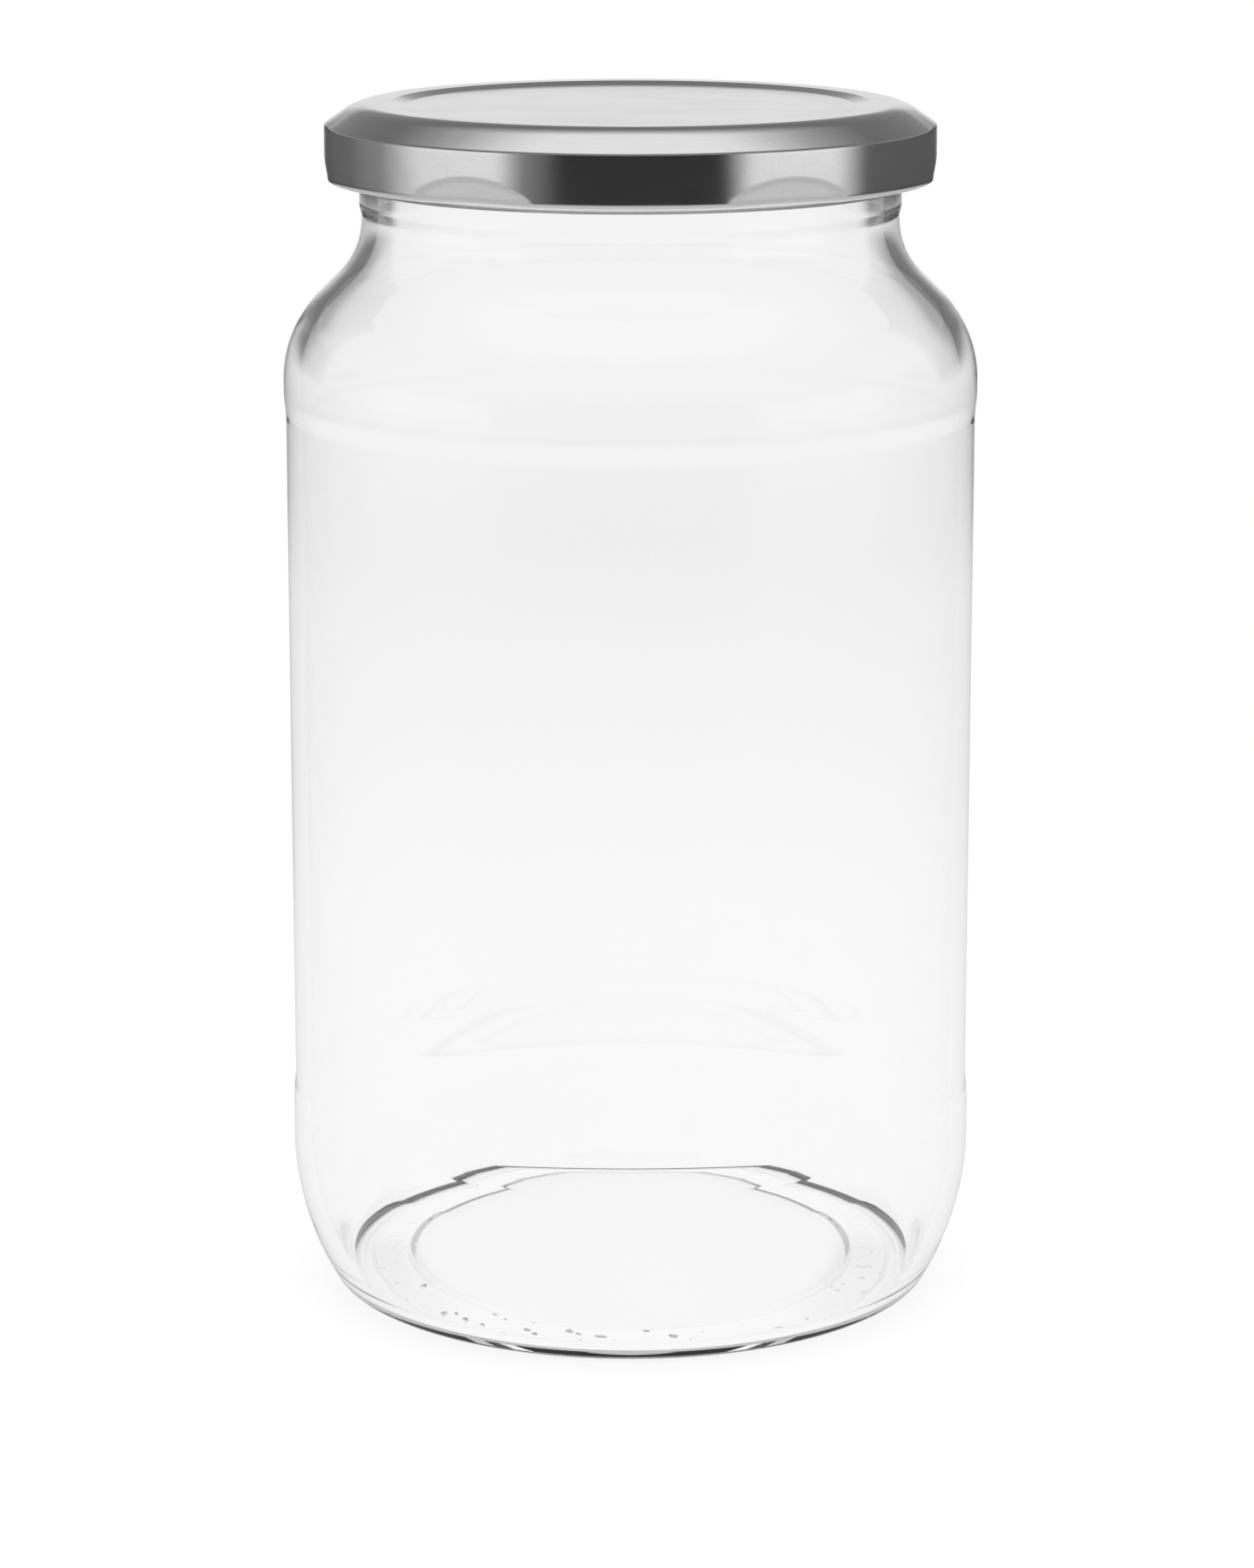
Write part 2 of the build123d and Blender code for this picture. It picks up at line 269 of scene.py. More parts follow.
def finished(shape, name, body, slot, material, *nodes):
    """Smooth object from a shape, riding on its body in place of CAD nodes."""
    mesh = bpy.data.meshes.new(name)
    for face in shape.faces:
        face.smooth = True
    shape.to_mesh(mesh)
    shape.free()
    mesh.materials.append(material)
    piece = bpy.data.objects.new(name, mesh)
    bpy.context.scene.collection.objects.link(piece)
    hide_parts(*nodes)
    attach(piece, body)
    return piece


def set_radius(vert, radius, grown):
    """Move a point straight out or in, from one distance from the axis to another."""
    vert.co.x *= grown / radius
    vert.co.y *= grown / radius


SHOULDER_STEPS = 14
DISH_STEPS = 12
RING_STEPS = 8
FOOT_STEPS = 10
HEEL_CORNER_STEPS = 6
HEEL_STEPS = 24
FLOOR_BEND_STEPS = 14
FLOOR_STEPS = 12
RIM_STEPS = 8


def shoulder_line(jar, top_radius, bottom_radius, hollow, bulge, neck_bottom):
    """S-curve from the straight body wall up to the straight neck."""
    angle = jar.shoulder_angle
    curves = hollow + bulge
    slope = (bottom_radius - top_radius - curves * (1 - math.cos(angle))) / math.sin(angle)
    drop = curves * math.sin(angle) + slope * math.cos(angle)
    lower_middle = (bottom_radius - bulge, neck_bottom - drop)
    upper_middle = (top_radius + hollow, neck_bottom)
    lower = arc(lower_middle, bulge, 0, angle, SHOULDER_STEPS)
    upper = arc(upper_middle, hollow, math.pi + angle, math.pi, SHOULDER_STEPS)
    return lower + upper


def dish_curve(jar):
    """Radius of the dish's curvature, and the plan radius at which the dish ends."""
    edge = jar.body_radius - jar.heel_inset - jar.bearing_width - jar.dish_run
    rise = jar.push_up - jar.dish_edge
    return (edge**2 + rise**2) / (2 * rise), edge


def base_line(jar):
    """Underside from the axis to the top of the heel: dish, bearing ring, foot, heel."""
    curve, edge = dish_curve(jar)
    dish_end = QUARTER_TURN - math.asin(edge / curve)
    dish = arc((0, jar.push_up - curve), curve, QUARTER_TURN, dish_end, DISH_STEPS)
    bearing = jar.body_radius - jar.heel_inset
    ring = rounded([
        (*dish[-2], 0),
        (edge, jar.dish_edge, jar.dish_round),
        (bearing - jar.bearing_width, 0, jar.dish_round),
        (bearing, 0, 0),
    ])
    ring = ring[:-2] + stretch(ring[-2], ring[-1], RING_STEPS)
    turn = 2 * math.atan2(jar.foot_rise, jar.foot_run)
    foot_curve = jar.foot_run / math.sin(turn)
    foot_end = turn - QUARTER_TURN
    foot = arc((bearing, foot_curve), foot_curve, -QUARTER_TURN, foot_end, FOOT_STEPS)
    corner_middle = foot[-1] + Vector((-math.sin(turn), math.cos(turn))) * jar.heel_corner
    heel_middle = jar.body_radius - jar.heel_radius
    reach = corner_middle.x - heel_middle
    climb = math.sqrt((jar.heel_radius - jar.heel_corner) ** 2 - reach**2)
    heel_turn = math.atan2(climb, reach)
    corner = arc(corner_middle, jar.heel_corner, foot_end, -heel_turn, HEEL_CORNER_STEPS)
    heel_top = corner_middle.y + climb
    heel = arc((heel_middle, heel_top), jar.heel_radius, -heel_turn, 0, HEEL_STEPS)
    return dish[:-2] + ring + foot[1:] + corner[1:] + heel[1:], heel_top


def floor_line(jar, heel_top):
    """Inside from the straight wall down the heel and over the floor to the axis."""
    floor_height = jar.push_up + jar.base_thickness
    fall = floor_height - jar.ring_thickness
    floor_curve = ((jar.body_radius - jar.heel_inset) ** 2 + fall**2) / (2 * fall)
    floor_middle = Vector((0, floor_height - floor_curve))
    heel_curve = jar.heel_radius - jar.body_wall
    heel_middle = Vector((jar.body_radius - jar.heel_radius, heel_top))
    across = heel_middle - floor_middle
    apart = across.length
    from_floor = floor_curve + jar.floor_bend
    from_heel = heel_curve - jar.floor_bend
    along = (from_floor**2 - from_heel**2 + apart**2) / (2 * apart)
    aside = math.sqrt(from_floor**2 - along**2)
    onward = across / apart
    middle = floor_middle + onward * along + Vector((onward.y, -onward.x)) * aside
    heel_turn = math.atan2(heel_top - middle.y, middle.x - heel_middle.x)
    floor_turn = math.atan2(middle.x, middle.y - floor_middle.y)
    bend_end = -QUARTER_TURN - floor_turn
    heel = arc(heel_middle, heel_curve, 0, -heel_turn, HEEL_STEPS)
    bend = arc(middle, jar.floor_bend, -heel_turn, bend_end, FLOOR_BEND_STEPS)
    floor = arc(floor_middle, floor_curve, QUARTER_TURN - floor_turn, QUARTER_TURN, FLOOR_STEPS)
    return heel + bend[1:] + floor[1:]


RAMP_PROFILE = (
    (0.0, 0.0), (0.02, 0.1), (0.03, 0.8), (0.06, 0.92), (0.12, 0.98), (0.25, 1.0),
    (0.5, 1.0), (0.62, 0.97), (0.7, 0.9), (0.94, 0.14), (0.98, 0.04), (1.04, 0.0),
)
GAPS_BELOW = 4
GAPS_ABOVE = 5


def profile_rows(jar, low):
    """Heights of the mesh rows over one ramp, with its lower side at a height."""
    return [low + jar.ramp_thickness * row for row, _ in RAMP_PROFILE]


def ramp_rows(jar, low, bottom, top):
    """Heights of the mesh rows up the wall that carries the ramps."""
    profile = profile_rows(jar, low)
    start = profile[-1]
    below = [bottom + (low - bottom) * i / GAPS_BELOW for i in range(1, GAPS_BELOW)]
    above = [start + (top - start) * i / GAPS_ABOVE for i in range(1, GAPS_ABOVE)]
    return below + profile + above


def climb_at(jar, angle):
    """Height of a ramp over its middle, at an angle from its lug."""
    return jar.ramp_lead * angle / FULL_TURN


def raise_ramps(shape, jar, low, bottom, top):
    """Press the ramps out of the finish's wall, each row of the mesh climbing with them."""
    pitch = FULL_TURN / jar.ramps
    span = jar.ramp_high - jar.ramp_low
    thickness = jar.ramp_thickness
    profile = profile_rows(jar, low)
    for vert in shape.verts:
        radius = math.hypot(vert.co.x, vert.co.y)
        if abs(radius - jar.finish_radius) > SAME_RADIUS or not bottom < vert.co.z < top:
            continue
        around = math.atan2(vert.co.y, vert.co.x) - jar.ramp_low
        along = around % pitch
        if along <= span:
            climb = climb_at(jar, along + jar.ramp_low)
            from_end = min(along, span - along) / jar.ramp_taper
            size = jar.ramp_end + (1 - jar.ramp_end) * math.sin(QUARTER_TURN * min(from_end, 1))
            depth = jar.ramp_depth * size
        else:
            back = (along - span) / (pitch - span)
            highest = climb_at(jar, jar.ramp_high)
            lowest = climb_at(jar, jar.ramp_low)
            climb = highest + (lowest - highest) * back * back * (3 - 2 * back)
            size = jar.ramp_end
            depth = 0
        height = vert.co.z
        squeeze = thickness * (1 - size) / 2
        if height < profile[0] - MERGE_DISTANCE:
            height += (climb + squeeze) * (height - bottom) / (profile[0] - bottom)
        elif height > profile[-1] + MERGE_DISTANCE:
            height += (climb - squeeze) * (top - height) / (top - profile[-1])
        else:
            nearest = min(range(len(profile)), key=lambda i: abs(profile[i] - height))
            middle = low + thickness / 2
            height = middle + climb + (height - middle) * size
            set_radius(vert, radius, jar.finish_radius + depth * RAMP_PROFILE[nearest][1])
        vert.co.z = height


def ripple_wall(shape, jar, finish, neck_bottom):
    """Blown glass is a little uneven inside."""
    inner = jar.body_radius - jar.body_wall
    for vert in shape.verts:
        radius = math.hypot(vert.co.x, vert.co.y)
        if radius < ON_AXIS or radius > inner + MERGE_DISTANCE or vert.co.z > neck_bottom:
            continue
        if vert.co.z < jar.push_up + jar.base_thickness + MERGE_DISTANCE:
            continue
        wave = noise.noise(vert.co / finish.ripple_size) * finish.ripple
        set_radius(vert, radius, radius + wave)


STIPPLE_REACH = 0.7
STIPPLE_CONTRAST = 4
STIPPLE_GAPS = 1.65


def stipple_ring(shape, jar):
    """The ring that the jar stands on is stippled, so hot glass doesn't crack there."""
    middle = jar.body_radius - jar.heel_inset - jar.bearing_width / 2
    for vert in shape.verts:
        radius = math.hypot(vert.co.x, vert.co.y)
        off_middle = abs(radius - middle)
        if vert.co.z > jar.foot_rise or off_middle > STIPPLE_REACH * jar.bearing_width:
            continue
        dots = STIPPLE_CONTRAST * noise.noise(vert.co / jar.stipple_size) - STIPPLE_GAPS
        vert.co.z += jar.stipple * min(max(dots, 0), 1)


PANEL_STEPS = 7
LABEL_STEPS = 14


def panel_wall(jar, radius, heel_top, shoulder_start, blur):
    """Wall from the heel to the shoulder, set back a little between the two bands."""
    lower_edge = heel_top + jar.lower_band - blur
    upper_edge = shoulder_start - jar.upper_band + blur
    panel = radius - jar.panel_recess
    slope = jar.panel_edge + 2 * blur
    bend = jar.panel_round
    wall = rounded([
        (radius, heel_top, 0),
        (radius, lower_edge, bend),
        (panel, lower_edge + slope, bend),
        (panel, upper_edge - slope, bend),
        (radius, upper_edge, bend),
        (radius, shoulder_start, 0),
    ], PANEL_STEPS)
    half = len(wall) // 2
    label = stretch(wall[half - 1], wall[half], LABEL_STEPS)
    return wall[:half] + label[1:-1] + wall[half:]


def jar_shape(jar, finish, curl_middle):
    """Body, shoulder, neck and finish as one skin of glass."""
    finish_bottom = CAP_BOX[0].z + jar.finish_lift
    bead_top = finish_bottom - jar.flare_height
    bead_bottom = bead_top - jar.bead_height
    neck_top = bead_bottom - jar.bead_edge
    neck_bottom = neck_top - jar.neck_height
    neck = jar.finish_radius - jar.neck_set_back
    bore = neck - jar.neck_wall
    inner = jar.body_radius - jar.body_wall
    step = jar.body_radius - neck
    hollow = jar.neck_curve * step
    bulge = jar.shoulder_curve * step
    base, heel_top = base_line(jar)
    outer_shoulder = shoulder_line(jar, neck, jar.body_radius, hollow, bulge, neck_bottom)
    inner_shoulder = shoulder_line(
        jar, bore, inner, hollow + jar.neck_wall, bulge - jar.body_wall, neck_bottom
    )
    wall = panel_wall(jar, jar.body_radius, heel_top, outer_shoulder[0].y, 0)
    inner_wall = panel_wall(jar, inner, heel_top, outer_shoulder[0].y, jar.panel_blur)
    low = curl_middle + jar.ramp_above_lug
    rim_start = jar.height - jar.rim_outer_round
    bead = neck + jar.bead_reach
    soft = jar.bead_round
    finish_line = rounded([
        (neck, neck_bottom, 0),
        (neck, neck_top, soft),
        (bead, bead_bottom, soft),
        (bead, bead_top, soft),
        (jar.finish_radius, finish_bottom, soft),
        (jar.finish_radius, low, 0),
    ])[:-1]
    wall_start = finish_line[-1].y
    rows = ramp_rows(jar, low, wall_start, rim_start)
    finish_line += [Vector((jar.finish_radius, row)) for row in rows]
    outer_round = jar.rim_outer_round
    inner_round = jar.rim_inner_round
    outer_middle = (jar.finish_radius - outer_round, rim_start)
    inner_middle = (bore + inner_round, jar.height - inner_round)
    rim = arc(outer_middle, outer_round, 0, QUARTER_TURN, RIM_STEPS)
    rim += arc(inner_middle, inner_round, QUARTER_TURN, 2 * QUARTER_TURN, RIM_STEPS)
    below = floor_line(jar, heel_top)
    inside = inner_shoulder[::-1] + inner_wall[::-1][1:] + below[1:]
    outline = base + wall[1:] + outer_shoulder[1:] + finish_line[1:] + rim + inside
    shape = spun(outline, jar.segments)
    raise_ramps(shape, jar, low, wall_start, rim_start)
    ripple_wall(shape, jar, finish, neck_bottom)
    stipple_ring(shape, jar)
    return shape


CAP_PANEL_STEPS = 16
CAP_SHOULDER_STEPS = 10
CAP_CORNER_STEPS = 6
SKIRT_STEPS = 24
CURL_STEPS = 20
CURL_TURN = math.radians(330)


def curl_height(cap):
    """Table to the middle of the rolled edge."""
    return cap.bottom + cap.curl / 2


def cap_outline(cap):
    """Outside of the sheet from the middle of the cap to the end of its rolled edge."""
    crest = cap.radius - cap.shoulder_run
    inner = crest - cap.crest_width
    angle = cap.shoulder_angle
    top = rounded([
        (0, cap.top - cap.panel_sink, 0),
        (inner - cap.panel_edge, cap.top - cap.panel_sink, cap.panel_round),
        (inner, cap.top, cap.panel_round),
        (crest, cap.top, 0),
    ])
    panel = stretch(top[0], top[1], CAP_PANEL_STEPS)
    bend_middle = (crest, cap.top - cap.shoulder_round)
    bend_end = QUARTER_TURN - angle
    bend = arc(bend_middle, cap.shoulder_round, QUARTER_TURN, bend_end, CAP_SHOULDER_STEPS)
    corner_middle = cap.radius - cap.corner_round
    corner_start = corner_middle + cap.corner_round * math.sin(angle)
    slope = corner_start - bend[-1].x
    corner_height = bend[-1].y - slope * math.tan(angle) - cap.corner_round * math.cos(angle)
    corner = arc((corner_middle, corner_height), cap.corner_round, bend_end, 0, CAP_CORNER_STEPS)
    roll = cap.curl / 2
    height = curl_height(cap)
    skirt = stretch(corner[-1], (cap.radius, height), SKIRT_STEPS)
    outline = panel[:-1] + top[1:] + bend[1:] + corner + skirt[1:]
    middle = cap.radius - roll
    for i in range(1, CURL_STEPS + 1):
        turn = CURL_TURN * i / CURL_STEPS
        radius = roll - 2 * cap.sheet * (i / CURL_STEPS) ** 2
        across, down = radius * math.cos(turn), radius * math.sin(turn)
        outline.append(Vector((middle + across, height - down)))
    return outline


def smooth_least(first, second, softness):
    """The smaller of two sizes, blended where they are nearly alike."""
    blend = max(softness - abs(first - second), 0) / softness
    return min(first, second) - softness * blend * blend / 4


def press_lugs(shape, cap):
    """Press the skirt and its rolled edge in at each lug."""
    curl_middle = curl_height(cap)
    pitch = FULL_TURN / cap.lugs
    tool_middle = cap.radius - cap.lug_press + cap.lug_ring
    for vert in shape.verts:
        radius = math.hypot(vert.co.x, vert.co.y)
        above = max(vert.co.z - curl_middle, 0)
        if radius < cap.radius - cap.curl - cap.sheet:
            continue
        narrowing = math.tan(cap.lug_lean) * (math.hypot(above, cap.lug_foot) - cap.lug_foot)
        tool = cap.lug_ring - narrowing
        turn = (math.atan2(vert.co.y, vert.co.x) + pitch / 2) % pitch - pitch / 2
        across = tool_middle * math.sin(turn)
        if abs(across) >= tool:
            continue
        reach = tool_middle * math.cos(turn) - math.sqrt(tool**2 - across**2)
        pressed = smooth_least(reach, cap.radius, cap.lug_blend)
        set_radius(vert, radius, radius + pressed - cap.radius)


COLOUR_A, COLOUR_B, COLOUR_RESULT = 6, 7, 2
VALUE_A, VALUE_B = 2, 3


def node_tree(owner):
    """Emptied node tree of a material or a world."""
    owner.use_nodes = True
    owner.node_tree.nodes.clear()
    return owner.node_tree


def add_node(tree, kind, settings=None, **values):
    """Node with settings on it and values on its sockets."""
    node = tree.nodes.new(kind)
    for name, value in (settings or {}).items():
        setattr(node, name, value)
    for name, value in values.items():
        node.inputs[name.replace("_", " ")].default_value = value
    return node


def join(tree, source, output, target, input_name):
    tree.links.new(source.outputs[output], target.inputs[input_name])


def feed(tree, source, socket):
    """Set a socket to a number, or link the output of a node to it."""
    if isinstance(source, (int, float)):
        socket.default_value = source
    else:
        tree.links.new(source, socket)


GRAIN_RANGE = {"From_Min": 0.3, "From_Max": 0.7}


def grain_group():
    """Node group for fine grain: a mask that varies over the surface."""
    name = "Fine grain"
    if name in bpy.data.node_groups:
        return bpy.data.node_groups[name]
    group = bpy.data.node_groups.new(name, "ShaderNodeTree")
    for label, kind, default in (
        ("Size", "NodeSocketVector", (1, 1, 1)),
        ("Detail", "NodeSocketFloat", 3),
        ("Low", "NodeSocketFloat", 0),
        ("High", "NodeSocketFloat", 1),
    ):
        socket = group.interface.new_socket(label, in_out="INPUT", socket_type=kind)
        socket.default_value = default
    group.interface.new_socket("Mask", in_out="OUTPUT", socket_type="NodeSocketFloat")
    inputs = group.nodes.new("NodeGroupInput")
    outputs = group.nodes.new("NodeGroupOutput")
    place = add_node(group, "ShaderNodeTexCoord")
    scale = add_node(group, "ShaderNodeVectorMath", {"operation": "MULTIPLY"})
    clouds = add_node(group, "ShaderNodeTexNoise", Scale=1)
    spread = add_node(group, "ShaderNodeMapRange", **GRAIN_RANGE)
    group.links.new(place.outputs["Object"], scale.inputs[0])
    group.links.new(inputs.outputs["Size"], scale.inputs[1])
    join(group, scale, "Vector", clouds, "Vector")
    join(group, inputs, "Detail", clouds, "Detail")
    join(group, clouds, "Fac", spread, "Value")
    join(group, inputs, "Low", spread, "To Min")
    join(group, inputs, "High", spread, "To Max")
    join(group, spread, "Result", outputs, "Mask")
    return group


def grain(tree, waves, low=0, high=1, detail=3):
    """Fine grain placed in a material, so many waves to a metre each way."""
    node = tree.nodes.new("ShaderNodeGroup")
    node.node_tree = grain_group()
    node.inputs["Size"].default_value = waves
    node.inputs["Low"].default_value = low
    node.inputs["High"].default_value = high
    node.inputs["Detail"].default_value = detail
    return node


def two_tone(tree, mask, first, second):
    """Colour that goes from one to another with a grain."""
    tone = add_node(tree, "ShaderNodeMix", {"data_type": "RGBA"})
    tone.inputs[COLOUR_A].default_value = (*first, 1)
    tone.inputs[COLOUR_B].default_value = (*second, 1)
    join(tree, mask, "Mask", tone, 0)
    return tone.outputs[COLOUR_RESULT]


def surface(name, **values):
    """Material with one shader, whose values are given."""
    material = bpy.data.materials.new(name)
    tree = node_tree(material)
    output = add_node(tree, "ShaderNodeOutputMaterial")
    shader = add_node(tree, "ShaderNodeBsdfPrincipled", **values)
    join(tree, shader, "BSDF", output, "Surface")
    return material, tree, shader


HAZE_WAVES = (60, 60, 60)
HAZE_ROUGHNESS = (0, 0.02)
STREAK_WAVES = (40, 40, 9)
STREAK_LIGHTER = 0.006


def glass_material(look):
    """Clear container glass, with a faint haze of handling."""
    material, tree, shader = surface(
        "Clear glass", Transmission_Weight=1, Metallic=0, IOR=look.refraction
    )
    haze = grain(tree, HAZE_WAVES, *HAZE_ROUGHNESS)
    streak = grain(tree, STREAK_WAVES)
    lighter = [min(1, channel + STREAK_LIGHTER) for channel in look.tint]
    tree.links.new(two_tone(tree, streak, look.tint, lighter), shader.inputs["Base Color"])
    join(tree, haze, "Mask", shader, "Roughness")
    return material


ROLLING_WAVES = (60, 4000, 4000)
ROLLING_BUMP = {"Strength": 0.03, "Distance": 0.00002}
TIN_WAVES = (90, 90, 90)
TIN_ROUGHNESS = (0.13, 0.16)
TIN_DARKER = 0.95
DENT_WAVES = (160, 160, 160)
DENT_DETAIL = 1
DENT_BUMP = {"Strength": 1, "Distance": 0.00001}


def tinplate_material(look):
    """Satin tinplate, with the faint lines of the rolling mill across it and small dents."""
    material, tree, shader = surface("Satin tinplate", Metallic=1)
    lines = grain(tree, ROLLING_WAVES)
    clouds = grain(tree, TIN_WAVES, *TIN_ROUGHNESS)
    dents = grain(tree, DENT_WAVES, detail=DENT_DETAIL)
    darker = [channel * TIN_DARKER for channel in look.tin]
    handled = add_node(tree, "ShaderNodeBump", **DENT_BUMP)
    bump = add_node(tree, "ShaderNodeBump", **ROLLING_BUMP)
    tree.links.new(two_tone(tree, lines, look.tin, darker), shader.inputs["Base Color"])
    join(tree, clouds, "Mask", shader, "Roughness")
    join(tree, dents, "Mask", handled, "Height")
    join(tree, handled, "Normal", bump, "Normal")
    join(tree, lines, "Mask", bump, "Height")
    join(tree, bump, "Normal", shader, "Normal")
    return material


COMPOUND_REFRACTION = 1.45
COMPOUND_WAVES = (300, 300, 300)
COMPOUND_DARKER = 0.93
PORE_WAVES = (2500, 2500, 2500)
PORE_BUMP = {"Strength": 0.3, "Distance": 0.00004}
MATT_WAVES = (500, 500, 500)
MATT_ROUGHNESS = (0.42, 0.6)


def compound_material(look):
    """Soft sealing compound, matt and slightly uneven."""
    material, tree, shader = surface("Sealing compound", IOR=COMPOUND_REFRACTION)
    clouds = grain(tree, COMPOUND_WAVES)
    pores = grain(tree, PORE_WAVES)
    matt = grain(tree, MATT_WAVES, *MATT_ROUGHNESS)
    darker = [channel * COMPOUND_DARKER for channel in look.compound]
    bump = add_node(tree, "ShaderNodeBump", **PORE_BUMP)
    tree.links.new(two_tone(tree, clouds, look.compound, darker), shader.inputs["Base Color"])
    join(tree, matt, "Mask", shader, "Roughness")
    join(tree, pores, "Mask", bump, "Height")
    join(tree, bump, "Normal", shader, "Normal")
    return material


class JAR_OT_glass(bpy.types.Operator):
    """Build the glass jar"""

    bl_idname = "preserving_jar.glass"
    bl_label = "Glass jar"

    def execute(self, context):
        scene = context.scene
        shape = jar_shape(scene.jar_sizes, scene.jar_glass, curl_height(scene.jar_cap))
        material = glass_material(scene.jar_glass)
        finished(shape, "blown_glass", "jar", "jar_glass", material, "glass_jar")
        return {"FINISHED"}


class JAR_OT_cap(bpy.types.Operator):
    """Build the tinplate cap with its pressed lugs"""

    bl_idname = "preserving_jar.cap"
    bl_label = "Twist-off cap"

    def execute(self, context):
        cap = context.scene.jar_cap
        shape = spun(cap_outline(cap), cap.segments)
        press_lugs(shape, cap)
        material = tinplate_material(context.scene.jar_cap_finish)
        piece = finished(shape, "tin_cap", "lid", "tinplate", material, "lid_shell")
        wall = piece.modifiers.new("Sheet", "SOLIDIFY")
        wall.thickness = cap.sheet
        wall.offset = -1
        wall.use_even_offset = True
        return {"FINISHED"}


class JAR_OT_seal(bpy.types.Operator):
    """Build the ring of sealing compound"""

    bl_idname = "preserving_jar.seal"
    bl_label = "Sealing ring"

    def execute(self, context):
        cap = context.scene.jar_cap
        crest = cap.radius - cap.shoulder_run
        inner = crest - cap.crest_width + cap.seal_inset
        outer = crest + cap.seal_reach
        low, high = SEAL_BOX[0].z, SEAL_BOX[1].z
        under = cap.shoulder_round - cap.sheet
        drop = under - math.sqrt(under**2 - cap.seal_reach**2) + cap.seal_clearance
        bend = cap.seal_round
        corners = [
            ((inner + outer) / 2, low, 0),
            (outer, low, bend),
            (outer, high - drop, bend),
            (crest, high, bend),
            (inner, high, bend),
            (inner, low, bend),
            ((inner + outer) / 2, low, 0),
        ]
        shape = spun(rounded(corners)[:-1], cap.segments, closed=True)
        material = compound_material(context.scene.jar_cap_finish)
        finished(shape, "compound_ring", "seal", "seal_compound", material, "sealing_ring")
        return {"FINISHED"}


def by_ray(tree, other, off_surfaces, through_glass, camera):
    """Value for each kind of ray. Each is a number or the output of a node."""
    path = add_node(tree, "ShaderNodeLightPath")
    value = other
    choices = {"Glossy": off_surfaces, "Transmission": through_glass, "Camera": camera}
    for kind, choice in choices.items():
        pick = add_node(tree, "ShaderNodeMix")
        tree.links.new(path.outputs[f"Is {kind} Ray"], pick.inputs[0])
        feed(tree, value, pick.inputs[VALUE_A])
        feed(tree, choice, pick.inputs[VALUE_B])
        value = pick.outputs[0]
    return value


def smooth_range(tree, source, start, end, first, last):
    """Value that goes smoothly from first to last while its source goes from start to end."""
    fade = add_node(
        tree, "ShaderNodeMapRange", {"interpolation_type": "SMOOTHSTEP"},
        From_Min=start, From_Max=end, To_Min=first, To_Max=last,
    )
    tree.links.new(source, fade.inputs["Value"])
    return fade.outputs["Result"]


def multiplied(tree, first, second):
    """Product of two values. Each is a number or the output of a node."""
    product = add_node(tree, "ShaderNodeMath", {"operation": "MULTIPLY"})
    feed(tree, first, product.inputs[0])
    feed(tree, second, product.inputs[1])
    return product.outputs[0]


# Painted shade through glass: ray depths where it begins and is full, and its lowest share
DEEP_SHADE_FROM, DEEP_SHADE_TO, DEEP_SHADE_LEVEL = 6, 12, 0.7


def shaded_through_glass(tree, level):
    """Level through glass, lower where light was turned many times before it got out: painted shade,
    which darkens the jar's foot and the lines of its base.
    """
    path = add_node(tree, "ShaderNodeLightPath")
    painted_shade = smooth_range(tree, path.outputs["Ray Depth"], DEEP_SHADE_FROM, DEEP_SHADE_TO, 1, DEEP_SHADE_LEVEL)
    return multiplied(tree, painted_shade, level)


def ramp_stops(ramp, stops):
    """Give a colour ramp its grey stops, as place and level."""
    elements = ramp.color_ramp.elements
    while len(elements) < len(stops):
        elements.new(0.5)
    for element, (place, level) in zip(elements, stops):
        element.position = place
        element.color = (level, level, level, 1)


def grey_ramp(tree, source, low, high, stops, interpolation="LINEAR"):
    """Level read from grey stops, which are spread over a source from low to high."""
    spread = add_node(tree, "ShaderNodeMapRange", From_Min=low, From_Max=high)
    ramp = add_node(tree, "ShaderNodeValToRGB")
    ramp.color_ramp.interpolation = interpolation
    ramp_stops(ramp, stops)
    tree.links.new(source, spread.inputs["Value"])
    join(tree, spread, "Result", ramp, "Fac")
    return ramp.outputs["Color"]


MATT_WHITE = (0.85, 0.85, 0.85, 1)
# A near and a far distance, and the value at each
LIT_SHARE = (0.1, 0.35, 0.88, 1)
# Painted reflection: to glossy rays the table is dimmer near the jar and brightens out to about two
# metres, darkening the cap's skirt and lugs
TABLE_MIRRORED = (0.9, 1.8, 0.6, 1.05)
# Distance as a share of the reach, and the level there
TABLE_REACH = 2
TABLE_LEVELS = (
    (0, 1), (0.05, 1), (0.11, 0.995), (0.182, 0.956),
    (0.285, 0.92), (0.395, 0.95), (0.45, 0.965), (1, 0.965),
)


